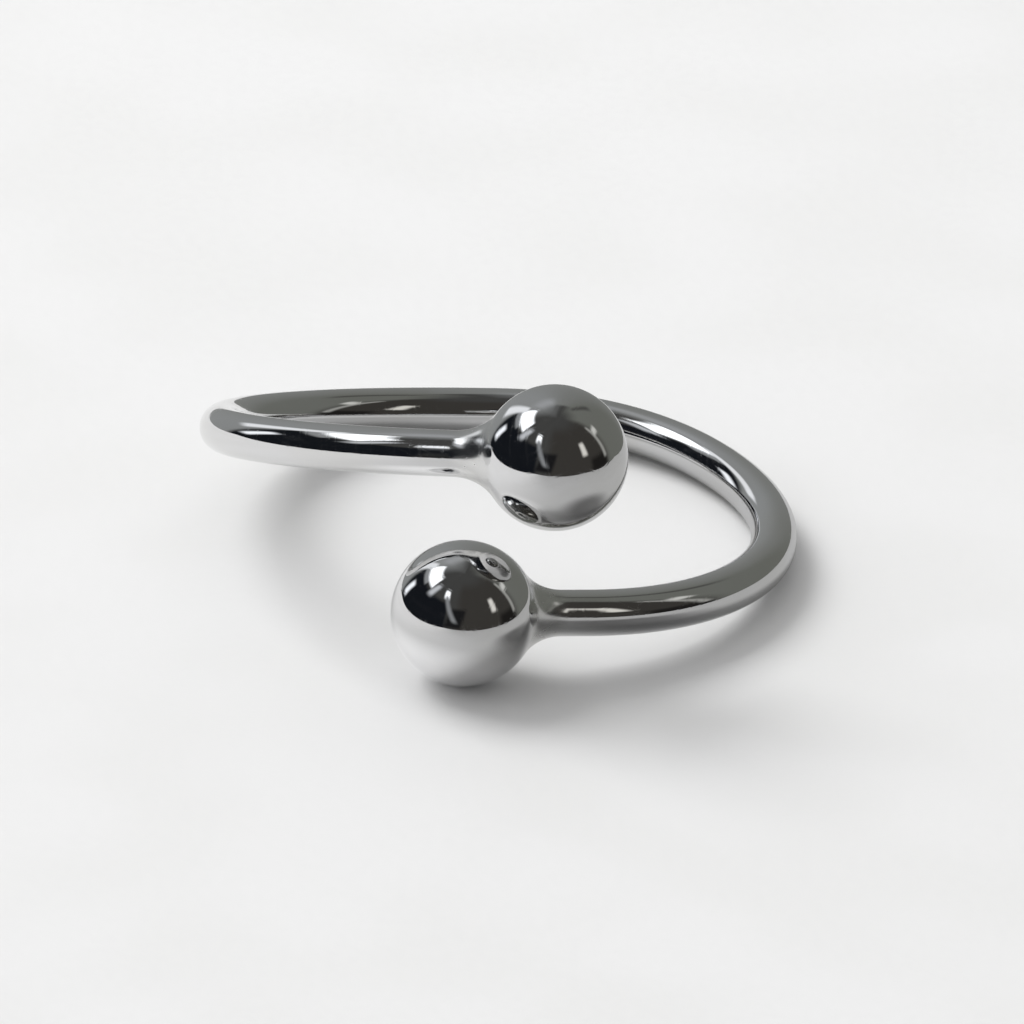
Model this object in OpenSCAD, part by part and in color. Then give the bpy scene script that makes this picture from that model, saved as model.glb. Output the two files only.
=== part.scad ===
// Open bead ring: one round wire bent into a ring that passes itself at the front.
// Each end of the wire flares into a solid round bead. The ring lies on its side, and
// rests on the lower bead and on two points of the wire at the back.
// Units are millimetres. Z is up, and -Y is the front, where the two beads pass.

/* [Band] */
// Diameter of the finger hole, inside the wire
inner_d = 17.4; // [14:0.1:22]
// Diameter of the round wire
wire_d = 1.6; // [1.2:0.1:2]

/* [Beads] */
// Diameter of each round bead
bead_d = 5; // [4:0.1:6]
// Radius of the hollow curve where the wire flares into the bead
flare_r = 2; // [1:0.1:2.5]
// Straight length of each end, from the bend to the middle of its bead
straight_l = 4.5; // [4.3:0.1:6]

/* [Bends] */
// Bend of the upper half, from the back of the ring to its straight end
upper_bend = 165.1; // [150:0.1:168]
// Bend of the lower half as far as the point where its plane turns
lower_bend_back = 48.6; // [30:0.1:70]
// Bend of the lower half from there to its straight end
lower_bend_front = 112.8; // [95:0.1:118]
// Turn of the lower half's plane at that point, back up towards the upper half
lower_turn = 9; // [0:0.1:15]
// Angle between the planes of the two halves, at the back of the ring
spread = 23.5; // [20:0.1:32]

/* [Rest] */
// Rise of the upper half towards the front, as the ring lies on the floor
rest_rise = 20.6; // [15:0.1:30]
// Lean of the ring towards its left side, as it lies on the floor
rest_lean = 1.4; // [0:0.1:4]

/* [Hidden] */
$fn = 96;

// Radii, and how far the plane of the lower half dips towards the front
wire_r = wire_d / 2;
bead_r = bead_d / 2;
ring_r = inner_d / 2 + wire_r;
rest_drop = spread - rest_rise;

// Angle by which each bend is swept past its start before it is cut off
start_over = 5;

// Flare: a circle of radius flare_r that touches the wire at flare_foot and the bead
// at flare_top, both measured along the wire from the middle of the bead
flare_foot = sqrt(pow(bead_r + flare_r, 2) - pow(wire_r + flare_r, 2));
flare_top = bead_r * flare_foot / (bead_r + flare_r);
flare_top_r = bead_r * (wire_r + flare_r) / (bead_r + flare_r);

// Turns of a point, in degrees, the same as rotate() makes
function turn_x(a, p) = [p.x, p.y * cos(a) - p.z * sin(a), p.y * sin(a) + p.z * cos(a)];
function turn_y(a, p) = [p.x * cos(a) + p.z * sin(a), p.y, p.z * cos(a) - p.x * sin(a)];
function turn_z(a, p) = [p.x * cos(a) - p.y * sin(a), p.x * sin(a) + p.y * cos(a), p.z];
function flip_x(p) = [-p.x, p.y, p.z];

// The wire runs along X from the back of the ring and bends towards -Y.
// bend_end carries a point from past a bend to the frame that the bend starts in.
function bend_end(a, p) = turn_z(-a, p + [0, ring_r, 0]) - [0, ring_r, 0];
function lying(p) = turn_y(-rest_lean, p);
function upper_place(a, p) = lying(flip_x(turn_x(-rest_rise, bend_end(a, p))));
function lower_back_place(a, p) = lying(turn_x(rest_drop, bend_end(a, p)));
function lower_front_place(a, p) =
    lower_back_place(lower_bend_back, turn_x(-lower_turn, bend_end(a, p)));

// Middle line of the wire in steps of half a degree, and the middles of the two beads
middle_line = concat(
    [for (a = [0:0.5:upper_bend]) upper_place(a, [0, 0, 0])],
    [for (a = [0:0.5:lower_bend_back]) lower_back_place(a, [0, 0, 0])],
    [for (a = [0:0.5:lower_bend_front]) lower_front_place(a, [0, 0, 0])]
);
upper_bead_at = upper_place(upper_bend, [straight_l, 0, 0]);
lower_bead_at = lower_front_place(lower_bend_front, [straight_l, 0, 0]);

// Box around the ring, from which the origin is put at the middle of its underside
function lowest(i) = min(concat([for (p = middle_line) p[i] - wire_r],
    [upper_bead_at[i] - bead_r, lower_bead_at[i] - bead_r]));
function highest(i) = max(concat([for (p = middle_line) p[i] + wire_r],
    [upper_bead_at[i] + bead_r, lower_bead_at[i] + bead_r]));
to_origin = -[(lowest(0) + highest(0)) / 2, (lowest(1) + highest(1)) / 2, lowest(2)];

// One bend of the wire, starting at the origin along X. It is swept a little past its
// start and cut off there square to the wire, so that the pieces meet face to face.
module bend(a) {
    intersection() {
        translate([0, -ring_r, 0])
            rotate([0, 0, 90 - a])
                rotate_extrude(angle = a + start_over)
                    translate([ring_r, 0])
                        circle(r = wire_r);
        translate([0, -3 * ring_r, -ring_r])
            cube([4 * ring_r, 4 * ring_r, 2 * ring_r]);
    }
}

// Carries what follows a bend to its far end
module past_bend(a) {
    translate([0, -ring_r, 0])
        rotate([0, 0, -a])
            translate([0, ring_r, 0])
                children();
}

// Outline of a straight end, right of the axis: wire, flare and round bead.
// The bead's middle is at the origin, and the wire comes from above.
module end_outline() {
    intersection() {
        translate([0, -bead_d])
            square([bead_d, 2 * bead_d]);
        union() {
            circle(r = bead_r);
            translate([-wire_r, 0])
                square([wire_d, straight_l]);
            difference() {
                translate([-flare_top_r, 0])
                    square([2 * flare_top_r, flare_foot]);
                translate([wire_r + flare_r, flare_foot])
                    circle(r = flare_r);
            }
        }
    }
}

// Straight end of the wire with its bead, starting at the origin along X
module bead_end() {
    translate([straight_l, 0, 0])
        rotate([0, -90, 0])
            rotate_extrude()
                end_outline();
}

// Half of the ring that rises to the upper bead
module upper_half() {
    mirror([1, 0, 0])
        rotate([-rest_rise, 0, 0]) {
            bend(upper_bend);
            past_bend(upper_bend)
                bead_end();
        }
}

// Half of the ring that stays low and carries the lower bead
module lower_half() {
    rotate([rest_drop, 0, 0]) {
        bend(lower_bend_back);
        past_bend(lower_bend_back)
            rotate([-lower_turn, 0, 0]) {
                bend(lower_bend_front);
                past_bend(lower_bend_front)
                    bead_end();
            }
    }
}

// The whole ring, one solid, lying as it rests
module bead_ring() {
    color("silver")
        translate(to_origin)
            rotate([0, -rest_lean, 0]) {
                upper_half();
                lower_half();
            }
}

bead_ring();
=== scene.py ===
from math import atan2, cos, pi, radians, sqrt

import bpy
from mathutils import Matrix, Vector


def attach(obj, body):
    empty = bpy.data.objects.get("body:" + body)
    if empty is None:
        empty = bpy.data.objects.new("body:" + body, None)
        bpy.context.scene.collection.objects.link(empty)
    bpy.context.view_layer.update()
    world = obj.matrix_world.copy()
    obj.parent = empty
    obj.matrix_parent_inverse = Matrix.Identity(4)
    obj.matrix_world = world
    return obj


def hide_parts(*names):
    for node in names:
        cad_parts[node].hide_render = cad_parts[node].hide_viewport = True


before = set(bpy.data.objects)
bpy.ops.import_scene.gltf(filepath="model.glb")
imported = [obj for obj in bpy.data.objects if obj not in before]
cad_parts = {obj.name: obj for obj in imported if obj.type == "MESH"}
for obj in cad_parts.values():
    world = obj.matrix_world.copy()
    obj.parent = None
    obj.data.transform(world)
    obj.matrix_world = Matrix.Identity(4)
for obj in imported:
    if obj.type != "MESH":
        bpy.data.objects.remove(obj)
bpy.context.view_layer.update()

MM = 0.001

# Sizes of the ring
INNER_D = 17.4 * MM  # finger hole, inside the wire
WIRE_D = 1.6 * MM
BEAD_D = 5.0 * MM
FLARE_R = 2.0 * MM  # hollow curve between wire and bead
STRAIGHT_L = 4.5 * MM  # straight end, from the bend to the middle of its bead

# The upper half is one bend. The lower half is two, and its plane turns between them.
UPPER_BEND = radians(165.1)
LOWER_BEND_BACK = radians(48.6)
LOWER_BEND_FRONT = radians(112.8)
LOWER_TURN = radians(9)
SPREAD = radians(23.5)  # between the planes of the two halves, at the back
REST_RISE = radians(20.6)  # slope of the upper half as the ring lies
REST_LEAN = radians(1.4)  # lean of the whole ring to one side

# The fine mesh stays this much inside the true surface, so that it keeps within the box
# of the coarser CAD mesh
SHY = 0.006 * MM
WIRE_R = WIRE_D / 2 - SHY
BEAD_R = BEAD_D / 2 - SHY
RING_R = INNER_D / 2 + WIRE_D / 2
REST_DROP = SPREAD - REST_RISE

# Fineness of the surface: sides around the wire, and steps along it
SIDES = 96
BEND_STEP = radians(0.6)
FLARE_STEP = 0.07 * MM
BEAD_STEP = radians(3)
JOIN_GAP = 1e-7  # points closer than this become one


# Middle line of the wire
def turn(axis, angle):
    return Matrix.Rotation(angle, 4, axis)


def past_bend(angle):
    """Carries what follows a bend, which starts at the origin along X, to its far end."""
    return (
        Matrix.Translation((0, -RING_R, 0))
        @ turn("Z", -angle)
        @ Matrix.Translation((0, RING_R, 0))
    )


LYING = turn("Y", -REST_LEAN)
UPPER = LYING @ Matrix.Scale(-1, 4, (1, 0, 0)) @ turn("X", -REST_RISE)
LOWER_BACK = LYING @ turn("X", REST_DROP)
LOWER_FRONT = LOWER_BACK @ past_bend(LOWER_BEND_BACK) @ turn("X", -LOWER_TURN)


def bend_points(place, angle):
    steps = round(angle / BEND_STEP)
    return [place @ past_bend(angle * i / steps) @ Vector() for i in range(steps + 1)]


def end_distances():
    """Distances from the bead's middle along its straight end, from the bend to the
    tip: even along the flare, and by even angles round the bead."""
    foot = sqrt((BEAD_R + FLARE_R) ** 2 - (WIRE_R + FLARE_R) ** 2)
    top = BEAD_R * foot / (BEAD_R + FLARE_R)
    start = atan2(sqrt(BEAD_R**2 - top**2), top)
    plain_steps = round((STRAIGHT_L - foot) / (2 * FLARE_STEP))
    flare_steps = round((foot - top) / FLARE_STEP)
    bead_steps = round((pi - start) / BEAD_STEP)
    return (
        [STRAIGHT_L + (foot - STRAIGHT_L) * i / plain_steps for i in range(1, plain_steps)]
        + [foot + (top - foot) * i / flare_steps for i in range(flare_steps)]
        + [BEAD_R * cos(start + (pi - start) * i / bead_steps) for i in range(bead_steps + 1)]
    )


def end_points(place, angle):
    at = place @ past_bend(angle)
    return [at @ Vector((STRAIGHT_L - d, 0, 0)) for d in end_distances()]


def middle_line():
    """Points from the tip of the upper bead to the tip of the lower one, each with its
    distance along the line from the nearer tip. Past the straight ends that distance is
    held."""
    upper = bend_points(UPPER, UPPER_BEND) + end_points(UPPER, UPPER_BEND)
    lower = (
        bend_points(LOWER_BACK, LOWER_BEND_BACK)[1:]
        + bend_points(LOWER_FRONT, LOWER_BEND_FRONT)[1:]
        + end_points(LOWER_FRONT, LOWER_BEND_FRONT)
    )
    points = upper[::-1] + lower
    ends = [BEAD_R + d for d in end_distances()]
    middle = len(points) - 2 * len(ends)
    far = BEAD_R + STRAIGHT_L
    return points, ends[::-1] + [far] * middle + ends


def resting_shift(points, from_tip):
    """The shift that puts the origin at the middle of the box's underside. The box is
    taken from the wire well past the beads, and from the two beads."""
    past_beads = STRAIGHT_L + BEAD_R / 2
    reach = [(p, WIRE_D / 2) for p, d in zip(points, from_tip) if d > past_beads]
    for place, angle in ((UPPER, UPPER_BEND), (LOWER_FRONT, LOWER_BEND_FRONT)):
        reach.append((place @ past_bend(angle) @ Vector((STRAIGHT_L, 0, 0)), BEAD_D / 2))
    lo = [min(p[i] - r for p, r in reach) for i in range(3)]
    hi = [max(p[i] + r for p, r in reach) for i in range(3)]
    return Vector((-(lo[0] + hi[0]) / 2, -(lo[1] + hi[1]) / 2, -lo[2]))


# Node helpers
def put(tree, kind, inputs=None, **settings):
    """Adds a node. inputs maps a socket's name or number to a value or to a socket."""
    made = tree.nodes.new(kind)
    for name, value in settings.items():
        setattr(made, name, value)
    for key, value in (inputs or {}).items():
        if isinstance(value, bpy.types.NodeSocket):
            tree.links.new(value, made.inputs[key])
        else:
            made.inputs[key].default_value = value
    return made


def sums(tree):
    """Returns a function that adds a Math node and gives its result socket."""

    def calc(operation, a, b=None, c=None, clamp=False):
        inputs = {i: v for i, v in enumerate((a, b, c)) if v is not None}
        made = put(tree, "ShaderNodeMath", inputs, operation=operation, use_clamp=clamp)
        return made.outputs[0]

    return calc


def socket(tree, name, kind, default=None, is_output=False):
    made = tree.interface.new_socket(
        name=name, in_out="OUTPUT" if is_output else "INPUT", socket_type=kind
    )
    if default is not None:
        made.default_value = default


def even_noise(tree, place, per_metre, detail=0.0):
    made = put(tree, "ShaderNodeTexNoise", {"Vector": place, "Scale": per_metre, "Detail": detail})
    return made.outputs[0]


def span(tree, value, low, high, to_low=0.0, to_high=1.0, soft=True):
    """Maps low..high to to_low..to_high, with both ends held."""
    limits = {"From Min": low, "From Max": high, "To Min": to_low, "To Max": to_high}
    way = "SMOOTHSTEP" if soft else "LINEAR"
    made = put(tree, "ShaderNodeMapRange", {"Value": value, **limits}, interpolation_type=way)
    return made.outputs[0]


def blend(tree, part, first, second, clamp=True):
    """Colour between two: all of the first at part 0, all of the second at part 1."""
    inputs = {0: part, 6: first, 7: second}
    made = put(tree, "ShaderNodeMix", inputs, data_type="RGBA", clamp_factor=clamp)
    return made.outputs[2]


def along(tree, place, way):
    """How far a place, or another vector, lies along a way."""
    made = put(tree, "ShaderNodeVectorMath", {0: place, 1: way}, operation="DOT_PRODUCT")
    return made.outputs["Value"]


# The ring's shape
RING_SIZES = {"Wire radius": WIRE_R, "Bead radius": BEAD_R, "Flare radius": FLARE_R}


def sweep_radius(tree, wire, bead, flare):
    """Radius of the ring at a distance from the nearer tip: round bead, hollow flare,
    then plain wire."""
    calc = sums(tree)
    named = put(tree, "GeometryNodeInputNamedAttribute", {"Name": "from_tip"})
    from_tip = named.outputs["Attribute"]
    far = calc("SUBTRACT", from_tip, bead)

    # where the flare touches the wire, and where it touches the bead
    over = calc("ADD", bead, flare)
    under = calc("ADD", wire, flare)
    foot = calc(
        "SQRT", calc("SUBTRACT", calc("MULTIPLY", over, over), calc("MULTIPLY", under, under))
    )
    top = calc("DIVIDE", calc("MULTIPLY", bead, foot), over)

    rest = calc("SUBTRACT", calc("MULTIPLY", bead, 2.0), from_tip)
    bead_radius = calc("SQRT", calc("MAXIMUM", calc("MULTIPLY", from_tip, rest), 0.0))
    back = calc("MINIMUM", calc("MAXIMUM", calc("SUBTRACT", foot, far), 0.0), flare)
    hollow = calc(
        "SQRT", calc("SUBTRACT", calc("MULTIPLY", flare, flare), calc("MULTIPLY", back, back))
    )
    flare_radius = calc("SUBTRACT", under, hollow)
    on_bead = calc("LESS_THAN", far, top)
    return calc(
        "ADD",
        calc("MULTIPLY", on_bead, bead_radius),
        calc("MULTIPLY", calc("SUBTRACT", 1.0, on_bead), flare_radius),
    )


def ring_sweep_tree():
    """Sweeps a circle of varying radius along the middle line, and closes its two tips."""
    tree = bpy.data.node_groups.new("ring_sweep", "GeometryNodeTree")
    socket(tree, "Middle line", "NodeSocketGeometry")
    for name, size in RING_SIZES.items():
        socket(tree, name, "NodeSocketFloat", size)
    socket(tree, "Sides", "NodeSocketInt", SIDES)
    socket(tree, "Finish", "NodeSocketMaterial")
    socket(tree, "Ring", "NodeSocketGeometry", is_output=True)

    given = put(tree, "NodeGroupInput").outputs
    radius = sweep_radius(tree, *(given[name] for name in RING_SIZES))
    line = put(tree, "GeometryNodeMeshToCurve", {"Mesh": given["Middle line"]})
    circle = put(
        tree,
        "GeometryNodeCurvePrimitiveCircle",
        {"Resolution": given["Sides"], "Radius": 1.0},
        mode="RADIUS",
    )
    swept = put(
        tree,
        "GeometryNodeCurveToMesh",
        {"Curve": line.outputs[0], "Profile Curve": circle.outputs["Curve"], "Scale": radius},
    )
    closed = put(
        tree,
        "GeometryNodeMergeByDistance",
        {"Geometry": swept.outputs[0], "Distance": JOIN_GAP},
    )
    smooth = put(tree, "GeometryNodeSetShadeSmooth", {"Geometry": closed.outputs[0]})
    real = put(tree, "GeometryNodeRealizeInstances", {"Geometry": smooth.outputs[0]})
    done = put(
        tree,
        "GeometryNodeSetMaterial",
        {"Geometry": real.outputs[0], "Material": given["Finish"]},
    )
    put(tree, "NodeGroupOutput", {"Ring": done.outputs[0]})
    return tree


def set_inputs(modifier, values):
    for item in modifier.node_group.interface.items_tree:
        if item.item_type == "SOCKET" and item.name in values:
            modifier[item.identifier] = values[item.name]


def bead_ring(finish):
    points, from_tip = middle_line()
    shift = resting_shift(points, from_tip)
    line = bpy.data.meshes.new("ring_line")
    line.from_pydata([p + shift for p in points], [(i, i + 1) for i in range(len(points) - 1)], [])
    line.attributes.new("from_tip", "FLOAT", "POINT").data.foreach_set("value", from_tip)
    path = bpy.data.objects.new("ring_line", line)
    bpy.context.collection.objects.link(path)

    sweep = path.modifiers.new("ring_sweep", "NODES")
    sweep.node_group = ring_sweep_tree()
    set_inputs(sweep, {**RING_SIZES, "Sides": SIDES, "Finish": finish})
    shown = path.evaluated_get(bpy.context.evaluated_depsgraph_get())
    mesh = bpy.data.meshes.new_from_object(shown)
    mesh.name = "polished_ring"
    path.modifiers.remove(sweep)
    bpy.data.objects.remove(path)
    ring = bpy.data.objects.new("polished_ring", mesh)
    bpy.context.collection.objects.link(ring)
    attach(ring, "root")
    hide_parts("bead_ring")


def new_material(name):
    """Gives a material, its nodes, the sockets of its surface, and Object coordinates."""
    material = bpy.data.materials.new(name)
    material.use_nodes = True
    tree = material.node_tree
    surface = tree.nodes["Principled BSDF"].inputs
    return material, tree, surface, put(tree, "ShaderNodeTexCoord").outputs["Object"]


# Silver
SILVER = (0.765, 0.765, 0.77, 1)
DULLED_SILVER = (0.69, 0.685, 0.665, 1)

# Hairlines in three directions: turn (radians), stretch (lines per metre), sparseness
HAIRLINES = (
    ((0.3, 0.2, 0.5), (9000.0, 500.0, 500.0), 0.62),
    ((1.1, -0.5, 2.1), (11000.0, 700.0, 700.0), 0.64),
    ((-0.6, 0.9, -0.8), (8000.0, 400.0, 400.0), 0.65),
)
HAIRLINE_FULL = 0.8  # noise at which a line has its full depth

# Noise per metre, and the stretch of it over which a mark goes from none to full
PATCHES_PER_M = 260.0
PATCHES = (0.42, 0.70)
SPECKS_PER_M = 5200.0
SPECKS = (0.72, 0.80)
WAVES_PER_M = 420.0

# The hollow by a bead, as distances from the tip: where its dullness comes in and goes
HOLLOW_START = (4.15 * MM, 4.6 * MM)
HOLLOW_END = (5.4 * MM, 6.4 * MM)

# Part of the way to dulled silver
PATCH_DULLING = 0.45
HOLLOW_DULLING = 0.40

# Roughness of the clean polish, and what each mark adds to it
POLISH_ROUGH = 0.03
DULLED_ROUGH = 0.02
HOLLOW_ROUGH = 0.16
HAIRLINE_ROUGH = 0.07
SPECK_ROUGH = 0.08

# Heights in the surface, in millimetres
POLISH_WAVE = 0.015
HAIRLINE_DEPTH = 0.0004


def hairline_tree():
    """Mask of sparse, fine, nearly straight lines that run one way through the metal."""
    tree = bpy.data.node_groups.new("hairlines", "ShaderNodeTree")
    socket(tree, "Place", "NodeSocketVector")
    socket(tree, "Turn", "NodeSocketVector")
    socket(tree, "Stretch", "NodeSocketVector")
    socket(tree, "Sparseness", "NodeSocketFloat")
    socket(tree, "Mask", "NodeSocketFloat", is_output=True)
    given = put(tree, "NodeGroupInput").outputs
    turned = put(tree, "ShaderNodeMapping", {"Vector": given["Place"], "Rotation": given["Turn"]})
    drawn = put(
        tree,
        "ShaderNodeVectorMath",
        {0: turned.outputs[0], 1: given["Stretch"]},
        operation="MULTIPLY",
    )
    grain = even_noise(tree, drawn.outputs[0], 1.0)
    put(tree, "NodeGroupOutput", {"Mask": span(tree, grain, given["Sparseness"], HAIRLINE_FULL)})
    return tree


def silver_hairlines(tree, place):
    """Mask of the hairlines of all directions."""
    calc = sums(tree)
    one_way = hairline_tree()
    lines = None
    for way, stretch, sparseness in HAIRLINES:
        values = {"Place": place, "Turn": way, "Stretch": stretch, "Sparseness": sparseness}
        mask = put(tree, "ShaderNodeGroup", values, node_tree=one_way).outputs["Mask"]
        lines = mask if lines is None else calc("MAXIMUM", lines, mask)
    return lines


def silver_hollows(tree):
    """Mask of the two hollows between a bead and the wire."""
    from_tip = put(tree, "ShaderNodeAttribute", attribute_name="from_tip").outputs["Fac"]
    past_bead = span(tree, from_tip, *HOLLOW_START)
    on_wire = span(tree, from_tip, *HOLLOW_END)
    return sums(tree)("SUBTRACT", past_bead, on_wire)


def polished_silver():
    """Mirror polish with slight waves from the buffing wheel, hairlines and specks from
    wear, and soft patches that are a little dulled. The hollows by the beads, which the
    wheel hardly reaches, are duller and rougher."""
    material, tree, metal, place = new_material("polished_silver")
    calc = sums(tree)
    lines = silver_hairlines(tree, place)
    patches = span(tree, even_noise(tree, place, PATCHES_PER_M, detail=1.0), *PATCHES)
    specks = span(tree, even_noise(tree, place, SPECKS_PER_M), *SPECKS)
    hollow = silver_hollows(tree)

    dulled = calc(
        "ADD",
        calc("MULTIPLY", patches, PATCH_DULLING),
        calc("MULTIPLY", hollow, HOLLOW_DULLING),
        clamp=True,
    )
    tree.links.new(blend(tree, dulled, SILVER, DULLED_SILVER), metal["Base Color"])

    rough = calc("MULTIPLY_ADD", dulled, DULLED_ROUGH, POLISH_ROUGH)
    rough = calc("MULTIPLY_ADD", hollow, HOLLOW_ROUGH, rough)
    rough = calc("MULTIPLY_ADD", lines, HAIRLINE_ROUGH, rough)
    rough = calc("MULTIPLY_ADD", specks, SPECK_ROUGH, rough)
    tree.links.new(rough, metal["Roughness"])

    wave = calc("MULTIPLY", even_noise(tree, place, WAVES_PER_M), POLISH_WAVE)
    height = calc("SUBTRACT", wave, calc("MULTIPLY", lines, HAIRLINE_DEPTH))
    bump = put(tree, "ShaderNodeBump", {"Height": height, "Distance": MM})
    tree.links.new(bump.outputs[0], metal["Normal"])
    metal["Metallic"].default_value = 1.0
    return material


# Table
TABLE_WHITE = (0.82, 0.82, 0.82, 1)
TABLE_SHADE = (0.80, 0.80, 0.796, 1)
BLACK = (0, 0, 0, 1)
MOTTLE_PER_M = 110.0
MOTTLE = (0.35, 0.65)
TOOTH_PER_M = 2600.0
TOOTH = (0.3, 0.7)
TOOTH_ROUGH = (0.62, 0.78)
TABLE_HALF = 4.0  # half of the whole table's side
CARD = ((-0.055, -0.110), (0.110, 0.025))  # the part of the table that the polish mirrors

# How bright the polish mirrors the table, as painted shade: along this way, towards the light, and
# this far to each side of the ring's middle, it goes from the first share of its white to the
# second
MIRROR_WAY = (-0.9, 0.4, 0.0)
MIRROR_REACH = 15 * MM
MIRROR_DIM = (0.60, 0.97)
# Painted light that the beads throw back on the table, and painted shade of the wires beside them,
# in the table's colour where the polish mirrors it: middle, core, edge, gain
PAINTED_POOLS = (
    ((-0.0026, -0.0092, 0.0), 1.5 * MM, 6.5 * MM, 1.5),
    ((0.0078, -0.0105, 0.0), 2.0 * MM, 7.0 * MM, 0.40),
    ((-0.0030, 0.0060, 0.0), 2.0 * MM, 6.0 * MM, 0.60),
)


def painted_mirror_shading(tree, place):
    """Share of its own white that the table shows in the polish: painted shade away from the light,
    with painted pools of light and shade by the ring.
    """
    calc = sums(tree)
    share = span(tree, along(tree, place, MIRROR_WAY), -MIRROR_REACH, MIRROR_REACH, *MIRROR_DIM)
    for middle, core, edge, gain in PAINTED_POOLS:
        away = put(tree, "ShaderNodeVectorMath", {0: place, 1: middle}, operation="DISTANCE")
        pool = span(tree, away.outputs["Value"], core, edge, gain, 1.0)
        share = calc("MULTIPLY", share, pool)
    return share


def pale_table():
    """White card with a faint mottling and a fine tooth. The polish mirrors it with painted shade,
    dimmer than the camera sees it, most of all at the front right, away from the light, and with
    painted pools of light and shade by the ring."""
    material, tree, surface, place = new_material("pale_table")
    mottle = span(tree, even_noise(tree, place, MOTTLE_PER_M, detail=1.0), *MOTTLE)
    white = blend(tree, mottle, TABLE_WHITE, TABLE_SHADE)
    # the table's colour as the polish sees it, with painted shade and painted pools of light and
    # shade
    mirrored = blend(tree, painted_mirror_shading(tree, place), BLACK, white, clamp=False)
    in_polish = put(tree, "ShaderNodeLightPath").outputs["Is Glossy Ray"]
    tree.links.new(blend(tree, in_polish, white, mirrored), surface["Base Color"])
    tooth = span(tree, even_noise(tree, place, TOOTH_PER_M), *TOOTH, *TOOTH_ROUGH)
    tree.links.new(tooth, surface["Roughness"])
    return material


def flat_sheet(name, finish, inner, outer=None):
    """The inner rectangle, or with outer, half the side of a square, the frame around it."""
    (x0, y0), (x1, y1) = inner
    points = [(x0, y0, 0), (x1, y0, 0), (x1, y1, 0), (x0, y1, 0)]
    faces = [(0, 1, 2, 3)]
    if outer:
        points += [(-outer, -outer, 0), (outer, -outer, 0), (outer, outer, 0), (-outer, outer, 0)]
        faces = [(4, 5, 1, 0), (5, 6, 2, 1), (6, 7, 3, 2), (7, 4, 0, 3)]
    mesh = bpy.data.meshes.new(name)
    mesh.from_pydata(points, [], faces)
    mesh.materials.append(finish)
    made = bpy.data.objects.new(name, mesh)
    bpy.context.collection.objects.link(made)
    return made


def table():
    """One white table. Only its near part shows in the polish, past it the room does."""
    finish = pale_table()
    flat_sheet("table_near", finish, CARD)
    far = flat_sheet("table_far", finish, CARD, TABLE_HALF)
    far.visible_glossy = False


# The room that the polish mirrors, painted from back to front:
# azimuth, elevation, width, height, edge (degrees), lean, colour
ROOM = (
    ("back right wall", 120, 26, 66, 92, 26, 0, (0.160, 0.165, 0.150)),
    ("dark frame", 140, 50, 8, 26, 9, 0, (0.075, 0.075, 0.07)),
    ("back left wall", -148, 20, 58, 104, 46, 0, (0.29, 0.30, 0.30)),
    ("back window", -157, 56, 34, 14, 16, 0, (0.38, 0.39, 0.40)),
    ("dark left", -80, 11, 100, 52, 8, 0, (0.008, 0.0095, 0.0125)),
    ("dark front", 40, 26, 104, 84, 22, 0, (0.046, 0.043, 0.039)),
    ("dark block", -14, 15, 26, 30, 8, 0.3, (0.012, 0.012, 0.013)),
    ("dark right foot", 76, 4, 30, 18, 10, 0, (0.015, 0.014, 0.013)),
    ("window sill", -114, 39, 30, 10, 5, 0, (0.30, 0.31, 0.32)),
    ("window", -106, 50.5, 46, 18, 6, -0.15, (1.8, 1.85, 1.9)),
    ("window arm", -137, 29, 11, 36, 6, 0.35, (0.95, 0.97, 1.0)),
    ("window right end", -73, 43, 11, 20, 9, 0.3, (0.62, 0.64, 0.67)),
    ("lamp left", -119, 11, 8, 18, 6, 0.3, (1.2, 1.24, 1.3)),
    ("lamp front", -40, 48, 11, 11, 7, -0.4, (2.0, 2.05, 2.1)),
    ("streak", -27, 28, 8, 38, 8, -0.65, (0.27, 0.28, 0.29)),
    ("small window right", 53, 30, 9, 19, 6, 0, (0.80, 0.78, 0.73)),
    ("streak right", 89, 28, 5, 44, 5, 0, (0.36, 0.36, 0.34)),
    ("streak right top", 97, 38, 12, 8, 6, 0.4, (0.66, 0.66, 0.63)),
)
PANEL_PLACE = ("Azimuth", "Elevation", "Width", "Height", "Edge", "Lean")
HALF_TURN = 180.0
ROOM_BACK = (0.205, 0.21, 0.20)
CEILING = (0.060, 0.060, 0.058)
CEILING_WAY = (0.0, -0.9, 0.45)  # the ceiling is on the side that this way points to
CEILING_EDGE = 0.06
LIGHT_WAY = (-0.77, 0.64, 0.0)  # the soft light comes from the back left
SOFT_NEAR = (1.28, 1.28, 1.28)
SOFT_FAR = (0.10, 0.10, 0.10)
BACKDROP = (0.87, 0.87, 0.87)


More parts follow.
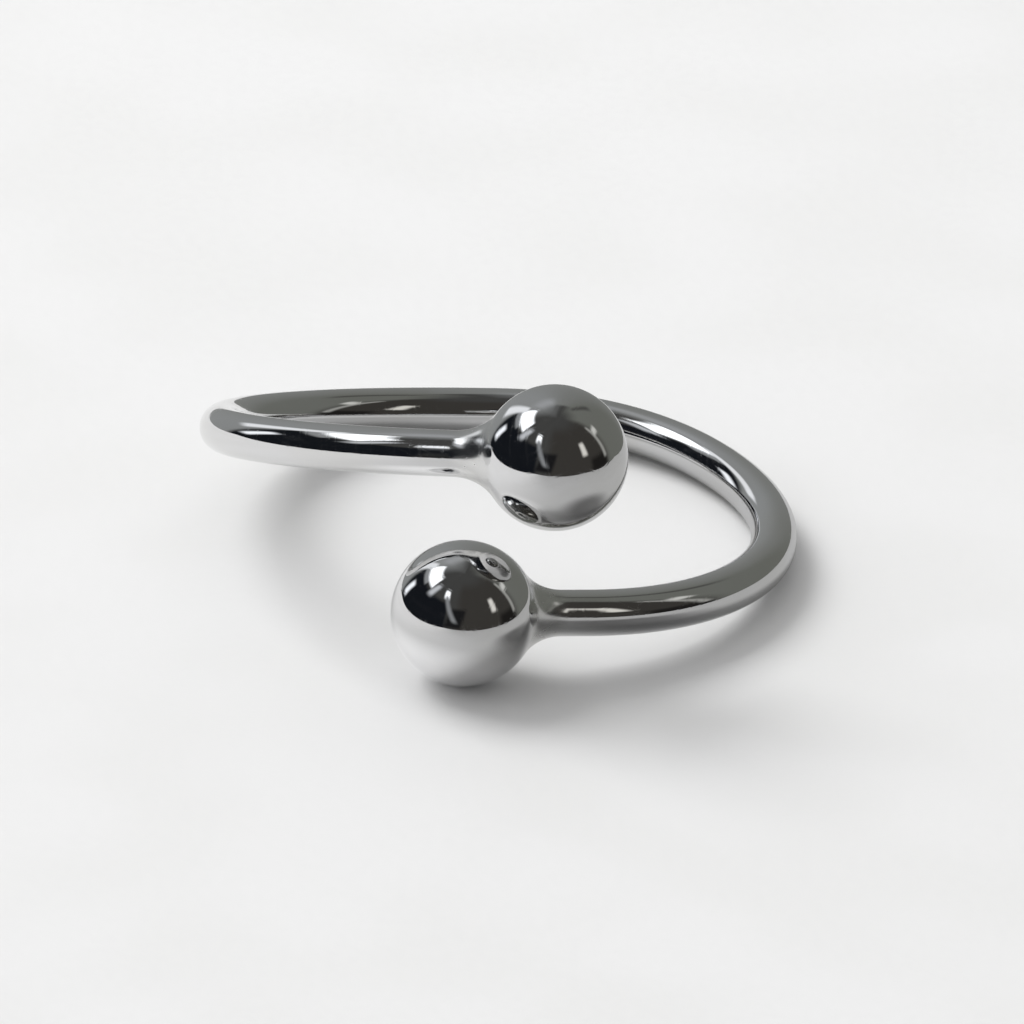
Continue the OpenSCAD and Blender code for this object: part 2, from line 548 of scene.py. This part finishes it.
def panel_tree():
    """Mask of a card or window in the room, placed by azimuth and elevation in degrees:
    azimuth 0 is the front, 90 the right and -90 the left. Lean moves it sideways by so
    many degrees for each degree up."""
    tree = bpy.data.node_groups.new("room_panel", "ShaderNodeTree")
    for name in PANEL_PLACE:
        socket(tree, name, "NodeSocketFloat")
    socket(tree, "Mask", "NodeSocketFloat", is_output=True)
    given = put(tree, "NodeGroupInput").outputs
    calc = sums(tree)
    way = put(tree, "ShaderNodeTexCoord").outputs["Generated"]
    x, y, z = put(tree, "ShaderNodeSeparateXYZ", {0: way}).outputs
    azimuth = calc("DEGREES", calc("ARCTAN2", x, calc("MULTIPLY", y, -1.0)))
    elevation = calc("DEGREES", calc("ARCSINE", z))
    across = calc("WRAP", calc("SUBTRACT", azimuth, given["Azimuth"]), HALF_TURN, -HALF_TURN)
    up = calc("SUBTRACT", elevation, given["Elevation"])
    across = calc("SUBTRACT", across, calc("MULTIPLY", up, given["Lean"]))
    half_edge = calc("MULTIPLY", given["Edge"], 0.5)
    masks = []
    for value, size in ((across, given["Width"]), (up, given["Height"])):
        inside = calc("SUBTRACT", calc("MULTIPLY", size, 0.5), calc("ABSOLUTE", value))
        masks.append(span(tree, inside, calc("MULTIPLY", half_edge, -1.0), half_edge))
    put(tree, "NodeGroupOutput", {"Mask": calc("MULTIPLY", *masks)})
    return tree


def painted_room(tree, way):
    """What the polish mirrors above the table: walls and ceiling, then each panel."""
    part = span(tree, along(tree, way, CEILING_WAY), -CEILING_EDGE, CEILING_EDGE)
    colour = blend(tree, part, (*ROOM_BACK, 1), (*CEILING, 1))
    panel = panel_tree()
    for name, *place, tint in ROOM:
        values = dict(zip(PANEL_PLACE, place))
        mask = put(tree, "ShaderNodeGroup", values, node_tree=panel, label=name).outputs["Mask"]
        colour = blend(tree, mask, colour, (*tint, 1))
    return colour


def room():
    """Soft light for the table and all that is dull, the painted room for the polish, and
    a plain pale backdrop for the camera."""
    world = bpy.data.worlds.new("room")
    bpy.context.scene.world = world
    world.use_nodes = True
    tree = world.node_tree
    tree.nodes.clear()
    way = put(tree, "ShaderNodeTexCoord").outputs["Generated"]
    part = span(tree, along(tree, way, LIGHT_WAY), -1.0, 1.0, soft=False)
    soft = blend(tree, part, (*SOFT_FAR, 1), (*SOFT_NEAR, 1))
    by_ray = put(tree, "ShaderNodeLightPath").outputs
    lights = put(tree, "ShaderNodeBackground", {"Color": soft}).outputs[0]
    tints = {"Is Glossy Ray": painted_room(tree, way), "Is Camera Ray": (*BACKDROP, 1)}
    for name, tint in tints.items():
        other = put(tree, "ShaderNodeBackground", {"Color": tint}).outputs[0]
        lights = put(tree, "ShaderNodeMixShader", {0: by_ray[name], 1: lights, 2: other}).outputs[0]
    put(tree, "ShaderNodeOutputWorld", {"Surface": lights})


# Lamp
KEY_WATTS = 4.4
KEY_PLACE = Vector((-0.45, 0.35, 0.6))
KEY_WIDTH = 0.5
KEY_HEIGHT = 0.4


def key_light():
    """A large soft lamp from the back left, aimed at the ring. The polish mirrors the
    painted window in its place."""
    data = bpy.data.lights.new("key", "AREA")
    data.shape = "RECTANGLE"
    data.size = KEY_WIDTH
    data.size_y = KEY_HEIGHT
    data.energy = KEY_WATTS
    made = bpy.data.objects.new("key", data)
    made.location = KEY_PLACE
    made.rotation_euler = KEY_PLACE.to_track_quat("Z", "Y").to_euler()
    made.visible_glossy = False
    made.visible_camera = False
    bpy.context.collection.objects.link(made)


# Camera: the way it looks and how it leans were found from the outlines in the photo
VIEW_AIM = Vector((0.4799, -1.2057, 2.6365)) * MM
VIEW_RIGHT = Vector((0.9991, 0.0081, 0.0425))
VIEW_UP = Vector((-0.0419, 0.4277, 0.9029))
VIEW_FIELD = 35.07 * MM  # width of the view at the ring
VIEW_DISTANCE = 0.8
VIEW_NEAREST = 0.01
VIEW_FURTHEST = 50.0
SENSOR_WIDTH = 36.0  # millimetres, as is the lens


def camera():
    data = bpy.data.cameras.new("camera")
    data.sensor_width = SENSOR_WIDTH
    data.lens = SENSOR_WIDTH * VIEW_DISTANCE / VIEW_FIELD
    data.clip_start = VIEW_NEAREST
    data.clip_end = VIEW_FURTHEST
    made = bpy.data.objects.new("camera", data)
    bpy.context.collection.objects.link(made)
    right = VIEW_RIGHT.normalized()
    up = (VIEW_UP - right * VIEW_UP.dot(right)).normalized()
    back = right.cross(up)
    turned = Matrix((right, up, back)).transposed().to_4x4()
    made.matrix_world = Matrix.Translation(VIEW_AIM + back * VIEW_DISTANCE) @ turned
    bpy.context.scene.camera = made


camera()
room()
key_light()
table()
bead_ring(polished_silver())
bpy.context.scene.view_settings.view_transform = "Standard"
